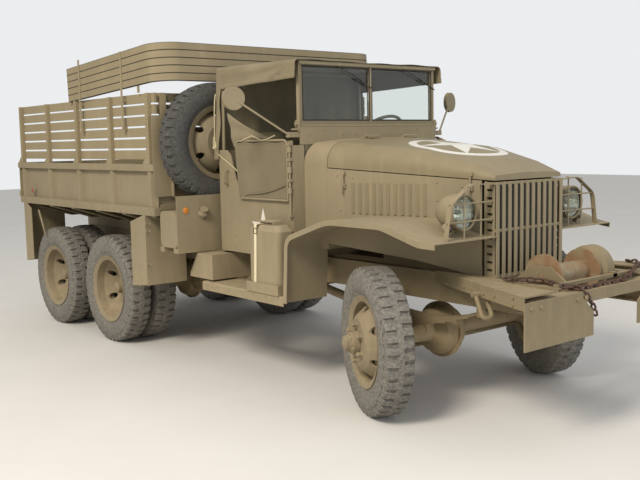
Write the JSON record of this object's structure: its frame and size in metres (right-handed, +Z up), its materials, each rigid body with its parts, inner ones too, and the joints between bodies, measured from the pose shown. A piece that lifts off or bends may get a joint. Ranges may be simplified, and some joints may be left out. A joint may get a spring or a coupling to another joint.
{
  "type": "military cargo truck",
  "caption": "Six-wheel-drive open-cab army cargo truck with canvas top, slatted cargo racks, front winch and brush guard.",
  "frame": {"origin": "on the ground under the middle of the truck's overall box", "axes": "+X forward along the truck's length, +Y to the truck's left, +Z up"},
  "size_m": [6.091, 2.2912, 2.4601],
  "materials": {
    "olive_paint": "matt olive drab paint, dusty",
    "chassis_paint": "matt olive drab paint with road dirt",
    "cast_iron": "painted castings, greasy",
    "spring_steel": "painted spring leaves",
    "tyre_rubber": "black rubber, non-directional lugs",
    "canvas": "olive cotton duck",
    "seat_vinyl": "olive canvas seat covers",
    "clear_glass": "clear flat glass",
    "rack_wood": "painted hardwood slats",
    "winch_steel": "worn steel drum"
  },
  "bodies": {
    "chassis": {"axles": "cast_iron", "bed_bearers": "olive_paint", "brush_guard": "olive_paint", "cab_floor": "olive_paint", "cab_shell": "olive_paint", "canvas_bows": "olive_paint", "canvas_top": "canvas", "cargo_bed": "olive_paint", "cargo_walls": "olive_paint", "cowl": "olive_paint", "drive_shafts": "chassis_paint", "frame": "chassis_paint", "front_bumper": "olive_paint", "front_fenders": "olive_paint", "fuel_can": "olive_paint", "fuel_tank": "olive_paint", "glass": "clear_glass", "headlamps": "olive_paint", "hood_sides": "olive_paint", "mirrors": "olive_paint", "mudguards": "olive_paint", "pintle_hook": "cast_iron", "power_unit": "cast_iron", "racks": "rack_wood", "running_boards": "olive_paint", "seat_cushions": "seat_vinyl", "spare_carrier": "olive_paint", "spare_tyre": "tyre_rubber", "spare_wheel": "olive_paint", "springs": "spring_steel", "steering_column": "chassis_paint", "tool_box": "olive_paint", "winch_frame": "chassis_paint", "windshield_frame": "olive_paint"},
    "front_right_wheel": {"front_right_wheel": "olive_paint", "front_right_tyre": "tyre_rubber"},
    "front_left_wheel": {"front_left_wheel": "olive_paint", "front_left_tyre": "tyre_rubber"},
    "right_knuckle": {"right_knuckle": "cast_iron"},
    "left_knuckle": {"left_knuckle": "cast_iron"},
    "tie_rod": {"tie_rod": "chassis_paint"},
    "hood": {"hood": "olive_paint"},
    "tailgate": {"tailgate": "olive_paint"},
    "right_door": {"right_door_frame": "olive_paint", "right_door_canvas": "canvas"},
    "left_door": {"left_door_frame": "olive_paint", "left_door_canvas": "canvas"},
    "steering_wheel": {"steering_wheel": "olive_paint"},
    "winch_drum": {"winch_drum": "winch_steel"},
    "middle_right_wheels": {"middle_right_wheels": "olive_paint", "middle_right_tyres": "tyre_rubber"},
    "middle_left_wheels": {"middle_left_wheels": "olive_paint", "middle_left_tyres": "tyre_rubber"},
    "rear_right_wheels": {"rear_right_wheels": "olive_paint", "rear_right_tyres": "tyre_rubber"},
    "rear_left_wheels": {"rear_left_wheels": "olive_paint", "rear_left_tyres": "tyre_rubber"}
  },
  "joints": [
    {"name": "right_steer", "type": "hinge", "parent": "chassis", "child": "right_knuckle", "pos_m": [1.9175, -0.6905, 0.462], "axis": [0, 0, 1], "range_deg": [-6, 54]},
    {"name": "left_steer", "type": "hinge", "parent": "chassis", "child": "left_knuckle", "pos_m": [1.9175, 0.6905, 0.462], "axis": [0, 0, 1], "range_deg": [-6, 54]},
    {"name": "right_arm_to_tie_rod", "type": "hinge", "parent": "right_knuckle", "child": "tie_rod", "pos_m": [1.73479, -0.60915, 0.33], "axis": [0, 0, 1], "range_deg": [-54, 6]},
    {"name": "front_right_spin", "type": "hinge", "parent": "right_knuckle", "child": "front_right_wheel", "pos_m": [1.9175, -0.6905, 0.462], "axis": [0.4067, 0.9135, 0], "continuous": true},
    {"name": "front_left_spin", "type": "hinge", "parent": "left_knuckle", "child": "front_left_wheel", "pos_m": [1.9175, 0.6905, 0.462], "axis": [0.4067, 0.9135, 0], "continuous": true},
    {"name": "middle_right_spin", "type": "hinge", "parent": "chassis", "child": "middle_right_wheels", "pos_m": [-1.2065, -0.86, 0.462], "axis": [0, 1, 0], "continuous": true},
    {"name": "middle_left_spin", "type": "hinge", "parent": "chassis", "child": "middle_left_wheels", "pos_m": [-1.2065, 0.86, 0.462], "axis": [0, 1, 0], "continuous": true},
    {"name": "rear_right_spin", "type": "hinge", "parent": "chassis", "child": "rear_right_wheels", "pos_m": [-2.3245, -0.86, 0.462], "axis": [0, 1, 0], "continuous": true},
    {"name": "rear_left_spin", "type": "hinge", "parent": "chassis", "child": "rear_left_wheels", "pos_m": [-2.3245, 0.86, 0.462], "axis": [0, 1, 0], "continuous": true},
    {"name": "hood_hinge", "type": "hinge", "parent": "chassis", "child": "hood", "pos_m": [1.2245, 0, 1.721], "axis": [0, -1, 0], "range_deg": [0, 50]},
    {"name": "tailgate_hinge", "type": "hinge", "parent": "chassis", "child": "tailgate", "pos_m": [-3.0095, 0, 1.19], "axis": [0, -1, 0], "range_deg": [0, 90]},
    {"name": "right_door_hinge", "type": "hinge", "parent": "chassis", "child": "right_door", "pos_m": [1.0195, -0.763, 1.5], "axis": [0, 0, 1], "range_deg": [0, 110]},
    {"name": "left_door_hinge", "type": "hinge", "parent": "chassis", "child": "left_door", "pos_m": [1.0195, 0.763, 1.5], "axis": [0, 0, -1], "range_deg": [0, 110]},
    {"name": "steering_wheel_turn", "type": "hinge", "parent": "chassis", "child": "steering_wheel", "pos_m": [0.6775, 0.37, 1.73], "axis": [-0.6639, 0, 0.7479], "continuous": true},
    {"name": "winch_turn", "type": "hinge", "parent": "chassis", "child": "winch_drum", "pos_m": [2.7775, -0.13, 0.905], "axis": [0, 1, 0], "continuous": true}
  ],
  "couplings": [
    {"joint": "left_steer", "follows": "right_steer", "ratio": 1},
    {"joint": "right_arm_to_tie_rod", "follows": "right_steer", "ratio": -1}
  ]
}
